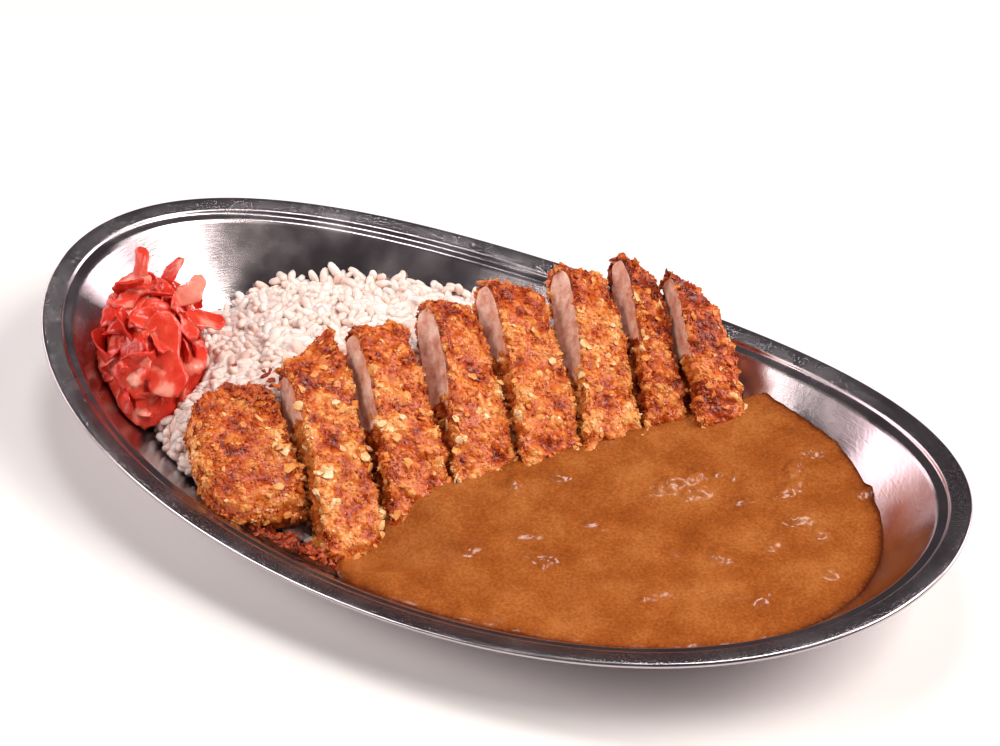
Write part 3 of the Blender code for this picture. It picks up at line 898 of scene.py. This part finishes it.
def redPickle():
    # Radish pickled in red vinegar: thin wet flesh that glows where light comes through
    material, shader = startMaterial("red pickle", {
        "Roughness": 0.20, "IOR": 1.38, "Subsurface Weight": 0.45, "Subsurface Scale": 0.0015,
        "Subsurface Radius": (1.0, 0.35, 0.25), "Coat Weight": 0.20, "Coat Roughness": 0.10})
    place = addNode(material, "ShaderNodeTexCoord")
    tone = addNode(material, "ShaderNodeAttribute", {"attribute_name": "tone"})
    cloud = addNode(material, "ShaderNodeTexNoise", {"Scale": 160.0, "Detail": 3.0}, {"Vector": (place, "Object")})
    both = addNode(material, "ShaderNodeMath", {"operation": "MULTIPLY_ADD", 1: 0.55}, {0: (tone, "Fac"), 2: (cloud, "Fac")})
    colour = addNode(material, "ShaderNodeValToRGB", {"stops": (
        (0.30, "#BC2416"), (0.60, "#D23020"), (0.84, "#E24A36"), (1.0, "#F49C88"))}, {"Fac": (both, "Value")})
    feed(material, shader, colour, "Color", "Base Color")
    # Cell rows about 0.7 mm apart
    cells = addNode(material, "ShaderNodeTexNoise", {"Scale": 900.0, "Detail": 4.0}, {"Vector": (place, "Object")})
    bump = addNode(material, "ShaderNodeBump", {"Strength": 0.40, "Distance": 0.0005}, {"Height": (cells, "Fac")})
    feed(material, shader, bump, "Normal", "Normal")
    return material


# Curry: a thick sauce that runs up to the steel and round the slices' ends

sauce = {
    "level": 16.0 * mm,
    "heaped": 1.2 * mm,           # stands higher towards its own end
    "heapedFrom": 50.0 * mm,
    "lineStart": (-18.6 * mm, -52.8 * mm),
    "lineEnd": (56.4 * mm, 43.2 * mm),
    "centre": (58.0 * mm, -6.0 * mm),
    "reach": (70.0 * mm, 130.0 * mm, 72.0 * mm, 74.0 * mm),   # right, left, far, near
    "under": 7.0 * mm,            # runs this far back under the slices
    "tip": (-13.0 * mm, -63.5 * mm),   # its left end, where it thins out on the steel
    "tipSlope": 0.42,
    "film": 0.5 * mm,
    "spokes": 440,
    "rings": 130,
    "front": 2.4 * mm,            # rounding of the free edge
    # Scraps of onion and meat just under the skin: x, y, size across, size along and height in mm, heading
    "scraps": (
        (57, 8, 3.4, 5.5, 1.7, 30), (66, 10, 3.0, 4.6, 1.9, 40), (89, 24, 2.6, 5.8, 1.8, 60), (88, 43, 2.6, 4.0, 1.3, 10),
        (95, 52, 2.4, 5.0, 1.3, -30), (95, 1, 2.6, 4.8, 1.5, 70), (40, -36, 3.2, 5.0, 1.3, 20), (83, -11, 3.0, 5.0, 1.0, 0),
        (78, 13, 2.2, 5.4, 1.1, 45), (72, -34, 4.0, 6.5, 0.9, 15), (101, -22, 2.2, 3.6, 1.2, 80), (114, -3, 1.8, 2.6, 1.3, 0),
        (97, 14, 2.6, 5.0, 1.4, 30), (46, -15, 3.5, 5.5, 0.7, 0), (19, -43, 3.2, 5.0, 1.1, 40), (67, 22, 4.0, 7.0, 0.9, 20),
        (109, 35, 2.0, 4.6, 1.4, 75), (86, 33, 2.2, 4.4, 1.6, 110), (104, 12, 2.6, 4.4, 1.2, 140), (30, -28, 4.0, 5.0, 0.6, 0),
        (58, 11, 2.6, 5.0, 1.6, 40), (62, 15, 2.4, 3.6, 1.7, 70), (27, -2, 3.0, 4.2, 1.2, 20), (17, -12, 2.2, 4.6, 1.4, 120),
    ),
}


def behindLine(x, y):
    ax, ay = sauce["lineStart"]
    bx, by = sauce["lineEnd"]
    return -((x - ax) * (by - ay) - (y - ay) * (bx - ax)) / math.hypot(bx - ax, by - ay)


def sauceHeight(x, y):
    rise = min(1.0, max(0.0, (x - sauce["heapedFrom"]) / (40 * mm)))
    height = sauce["level"] + sauce["heaped"] * rise
    for sx, sy, across, along, tall, heading in sauce["scraps"]:
        dx, dy = (x - sx * mm) / mm, (y - sy * mm) / mm
        if abs(dx) + abs(dy) > 22:
            continue
        c, n = math.cos(math.radians(heading)), math.sin(math.radians(heading))
        away = math.hypot((dx * c + dy * n) / along, (dy * c - dx * n) / across)
        away += 0.5 * noise.noise(Vector((x * 420, y * 420, sx)))
        height += tall * mm / (1 + math.exp((away - 0.75) * 6.5))
    height += 0.75 * mm * noise.noise(Vector((x * 70, y * 70, 1.0)))
    height += 0.48 * mm * noise.noise(Vector((x * 190, y * 190, 4.0)))
    height += 0.05 * mm * noise.noise(Vector((x * 650, y * 650, 9.0)))
    return height


def makeCurry(material, plateTree):
    cx, cy = sauce["centre"]
    right, left, far, near = sauce["reach"]

    def steelAt(x, y):
        found = heightUnder(plateTree, x, y)
        return 40 * mm if found is None else found

    def topAt(x, y):
        # Thins to a film towards its left end
        fromTip = math.hypot(x - sauce["tip"][0], y - sauce["tip"][1])
        return min(sauceHeight(x, y), steelAt(x, y) + sauce["film"] + sauce["tipSlope"] * fromTip)

    angle = np.linspace(0, 2 * math.pi, sauce["spokes"], endpoint=False)
    outline = []
    for a in angle:
        dx, dy = math.cos(a), math.sin(a)
        reach = 1 / math.hypot(dx / (right if dx > 0 else left), dy / (far if dy > 0 else near))
        # Step outwards until the steel, the tip, or the line under the slices is reached
        distance = 20 * mm
        while distance < reach:
            x, y = cx + dx * distance, cy + dy * distance
            past = (x - sauce["tip"][0]) * 0.80 + (y - sauce["tip"][1]) * 0.60
            if behindLine(x, y) > sauce["under"] or steelAt(x, y) > sauceHeight(x, y) - 0.25 * mm or past < 0:
                break
            distance += 0.4 * mm
        outline.append(distance)
    outline = np.array(outline)
    for _ in range(3):
        outline = (np.roll(outline, 1) + outline * 2 + np.roll(outline, -1)) / 4
    outline *= 1 + 0.006 * np.array([noise.noise(Vector((math.cos(a) * 5, math.sin(a) * 5, 3.0))) for a in angle])
    rings, edges = [], []
    for share in np.sin(np.linspace(0, math.pi / 2, sauce["rings"])) ** 1.15:
        ring = []
        for a, reach in zip(angle, outline):
            distance = max(share * reach, 0.05 * mm)
            x, y = cx + math.cos(a) * distance, cy + math.sin(a) * distance
            z = topAt(x, y)
            away = reach - distance
            if away < sauce["front"]:
                fall = 1 - away / sauce["front"]
                z -= min(1.1 * mm, z - steelAt(x, y)) * (1 - math.sqrt(max(0.0, 1 - fall * fall)))
            ring.append((x, y, z))
            # Near 1 at the free edge; the sauce material darkens there as painted shade of the meniscus
            edges.append(math.exp(-away / (1.6 * mm)))
        rings.append(ring)
    # Its underside lies on the steel
    for share in (1.0, 0.97, 0.9, 0.75, 0.5, 0.2):
        ring = []
        for a, reach in zip(angle, outline):
            x, y = cx + math.cos(a) * reach * share, cy + math.sin(a) * reach * share
            lift = 0.12 * mm if share < 1 else max(0.12 * mm, topAt(x, y) - steelAt(x, y) - 3.0 * mm)
            ring.append((x, y, steelAt(x, y) + lift))
            edges.append(1.0)
        rings.append(ring)
    faces = gridFaces(len(rings), sauce["spokes"])
    faces.append([(len(rings) - 1) * sauce["spokes"] + i for i in range(sauce["spokes"])])
    faces.append(list(range(sauce["spokes"]))[::-1])
    return makePiece("currySauce", np.array(rings).reshape(-1, 3), faces, [material], {"edge": edges})


def makeDrippings(material, plateTree):
    # Thin sauce that has run out under the first two slices; its near-black colour is partly the sauce and partly
    # painted shade of the gap over it
    spokes, shares = 90, np.linspace(0.02, 1, 16)
    cx, cy = -31 * mm, -63.5 * mm
    rings, edges = [], []
    for level, lift in [(s, 1) for s in shares] + [(s, 0) for s in (0.98, 0.6, 0.1)]:
        for k in range(spokes):
            a = 2 * math.pi * k / spokes
            wobble = 1 + 0.16 * noise.noise(Vector((math.cos(a) * 2.4, math.sin(a) * 2.4, 7.0)))
            along, across = math.cos(a) * 23 * mm * level * wobble, math.sin(a) * 6.5 * mm * level * wobble
            x, y = cx + along * 0.985 + across * 0.17, cy - along * 0.17 + across * 0.985
            steel = heightUnder(plateTree, x, y) or 0
            tall = 1.1 * mm * math.sqrt(max(0.0, 1 - level ** 2)) + 0.25 * mm * noise.noise(Vector((x, y, 0)) * 420)
            rings.append((x, y, steel + 0.12 * mm + lift * max(0.0, tall)))
            # Edge at 1 all over darkens the whole sheet further: painted shade
            edges.append(1.0)
    rows = len(rings) // spokes
    faces = gridFaces(rows, spokes)
    faces.append([(rows - 1) * spokes + i for i in range(spokes)])
    faces.append(list(range(spokes))[::-1])
    return makePiece("darkDrippings", rings, faces, [material], {"edge": edges})


def currySauce(name, dark, middle, light):
    # Roux curry: opaque brown sauce with a glossy oily skin and fine floury grain
    material, shader = startMaterial(name, {
        "Roughness": 0.26, "IOR": 1.45, "Subsurface Weight": 0.12, "Subsurface Scale": 0.002,
        "Subsurface Radius": (1.0, 0.35, 0.12)})
    place = addNode(material, "ShaderNodeTexCoord")
    edge = addNode(material, "ShaderNodeAttribute", {"attribute_name": "edge"})
    cloud = addNode(material, "ShaderNodeTexNoise", {"Scale": 75.0, "Detail": 5.0}, {"Vector": (place, "Object")})
    # Flour and spice grains of 0.3 mm are drawn 0.8 mm across so that they show
    grain = addNode(material, "ShaderNodeTexNoise", {"Scale": 1150.0, "Detail": 3.0}, {"Vector": (place, "Object")})
    calm = addNode(material, "ShaderNodeMath", {"operation": "MULTIPLY", 1: 0.74}, {0: (cloud, "Fac")})
    both = addNode(material, "ShaderNodeMath", {"operation": "MULTIPLY_ADD", 1: 0.61}, {0: (grain, "Fac"), 2: (calm, "Value")})
    # It darkens towards its free edge: painted shade for the dark meniscus along the rim
    level = addNode(material, "ShaderNodeMath", {"operation": "MULTIPLY_ADD", 1: -0.55}, {0: (edge, "Fac"), 2: (both, "Value")})
    colour = addNode(material, "ShaderNodeValToRGB", {"stops": ((0.20, dark), (0.62, middle), (0.95, light))},
                     {"Fac": (level, "Value")})
    feed(material, shader, colour, "Color", "Base Color")
    bump = addNode(material, "ShaderNodeBump", {"Strength": 0.16, "Distance": 0.0003}, {"Height": (grain, "Fac")})
    feed(material, shader, bump, "Normal", "Normal")
    rough = addNode(material, "ShaderNodeMapRange", {"From Min": 0.4, "From Max": 0.7, "To Min": 0.16, "To Max": 0.28},
                    {"Value": (cloud, "Fac")})
    feed(material, shader, rough, "Result", "Roughness")
    return material


# Setting: floor, light and camera

setting = {
    "lensWidths": 2.5,            # focal length in sensor widths
    "azimuth": 29.449,
    "elevation": 39.024,
    "place": (0.28402, -0.49430, 0.50460),
    "floorColour": "#F6F4F3",
    "lights": (
        # name, heading, elevation, distance, size, power, colour; each aims at the plate
        ("keySoftbox", 12, 52, 0.95, (0.45, 0.45), 7.6, "#FFF8F0"),
        ("topSoftbox", 118, 84, 1.00, (0.26, 0.26), 3.0, "#FFFFFF"),
        ("fillPanel", 228, 40, 1.00, (0.50, 0.40), 4.2, "#FFF8F4"),
        ("rightCard", 44, 17, 0.90, (0.60, 0.30), 3.6, "#FFEFF1"),
        ("leftCard", 180, 15, 0.90, (0.90, 0.28), 3.0, "#FFECEE"),
    ),
    "worldColour": "#585356",
    "worldStrength": 0.72,
}


def makeSetting():
    floorMaterial, shader = startMaterial("matt floor", {"Base Color": hexColour(setting["floorColour"]),
                                                         "Roughness": 0.9})
    place = addNode(floorMaterial, "ShaderNodeTexCoord")
    grain = addNode(floorMaterial, "ShaderNodeTexNoise", {"Scale": 40.0}, {"Vector": (place, "Object")})
    bump = addNode(floorMaterial, "ShaderNodeBump", {"Strength": 0.02}, {"Height": (grain, "Fac")})
    feed(floorMaterial, shader, bump, "Normal", "Normal")
    side = 6.0
    floor = makePiece("floor", [(-side, -side, 0), (side, -side, 0), (side, side, 0), (-side, side, 0)],
                      [(0, 1, 2, 3)], [floorMaterial])
    floor.location.z = -0.2 * mm
    target = Vector((0, 0, 0.02))
    for name, heading, elevation, distance, size, power, colour in setting["lights"]:
        flat, rise = math.radians(heading), math.radians(elevation)
        spot = distance * Vector((math.cos(flat) * math.cos(rise), math.sin(flat) * math.cos(rise), math.sin(rise)))
        lamp = bpy.data.lights.new(name, "AREA")
        lamp.shape = "RECTANGLE"
        lamp.size, lamp.size_y = size
        lamp.energy = power
        lamp.color = hexColour(colour)[:3]
        item = bpy.data.objects.new(name, lamp)
        item.location = spot
        item.rotation_euler = (target - spot).to_track_quat("-Z", "Y").to_euler()
        item.visible_camera = False
        bpy.context.scene.collection.objects.link(item)
    world = bpy.data.worlds.new("studio")
    bpy.context.scene.world = world
    world.use_nodes = True
    backdrop = world.node_tree.nodes["Background"]
    backdrop.inputs["Color"].default_value = hexColour(setting["worldColour"])
    backdrop.inputs["Strength"].default_value = setting["worldStrength"]
    camera = bpy.data.objects.new("camera", bpy.data.cameras.new("camera"))
    camera.data.sensor_width = 36
    camera.data.lens = 36 * setting["lensWidths"]
    camera.location = setting["place"]
    camera.rotation_euler = (math.radians(90 - setting["elevation"]), 0, math.radians(setting["azimuth"]))
    bpy.context.scene.collection.objects.link(camera)
    bpy.context.scene.camera = camera
    bpy.context.scene.view_settings.view_transform = "Standard"


def settle(piece, slot, *nodes):
    if slot != "stainless":
        restOn(piece, plateTree)
    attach(piece, "root")
    if nodes:
        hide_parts(*nodes)


print("plate")
plate = makePlate(polishedSteel())
settle(plate, "stainless", "plate")
plateTree = treeOf(plate)

print("cutlet")
crumb = friedCrumb("fried breadcrumb")
chicken = cookedChicken()
slices = []
for index in range(len(cutlet["rows"])):
    piece, pose = makeSlice(index, crumb, chicken)
    roughenSlice(piece, pose, index)
    settle(piece, "breaded_cutlet", "katsu_%d" % (index + 1))
    slices.append((piece, pose))
looseCrumb = friedCrumb("loose breadcrumb")
settle(scatterFlakes(slices, looseCrumb, plateTree), "breaded_cutlet")
settle(scatterGrit(slices, looseCrumb), "breaded_cutlet")

print("rice")
riceMaterial = boiledRice()
riceCore = coreFrom("rice", "riceCore", riceMaterial, riceHeap["sunk"], 1.2 * mm)
corePoints = meshPoints(riceCore)
movePoints(riceCore, corePoints - meshNormals(riceCore) * clumpDepth(corePoints)[:, None])
settle(riceCore, "rice", "rice")
settle(scatterRice(riceMaterial, [treeOf(piece) for piece, pose in slices], plateTree), "rice")

print("pickles")
pickleMaterial = redPickle()
settle(coreFrom("pickles", "pickleCore", pickleMaterial, 3.0 * mm, 1.5 * mm), "red_pickle", "pickles")
settle(makePickles(pickleMaterial), "red_pickle")

print("curry")
settle(makeCurry(currySauce("curry sauce", "#5A2408", "#98501E", "#B87238"), plateTree), "curry_sauce", "curry")
# The drippings' near-black colours are partly painted shade of the gap under the first two slices
settle(makeDrippings(currySauce("drippings darkened as painted shade", "#2A0E06", "#3C1408", "#5A200C"), plateTree), "curry_sauce")

print("setting")
makeSetting()
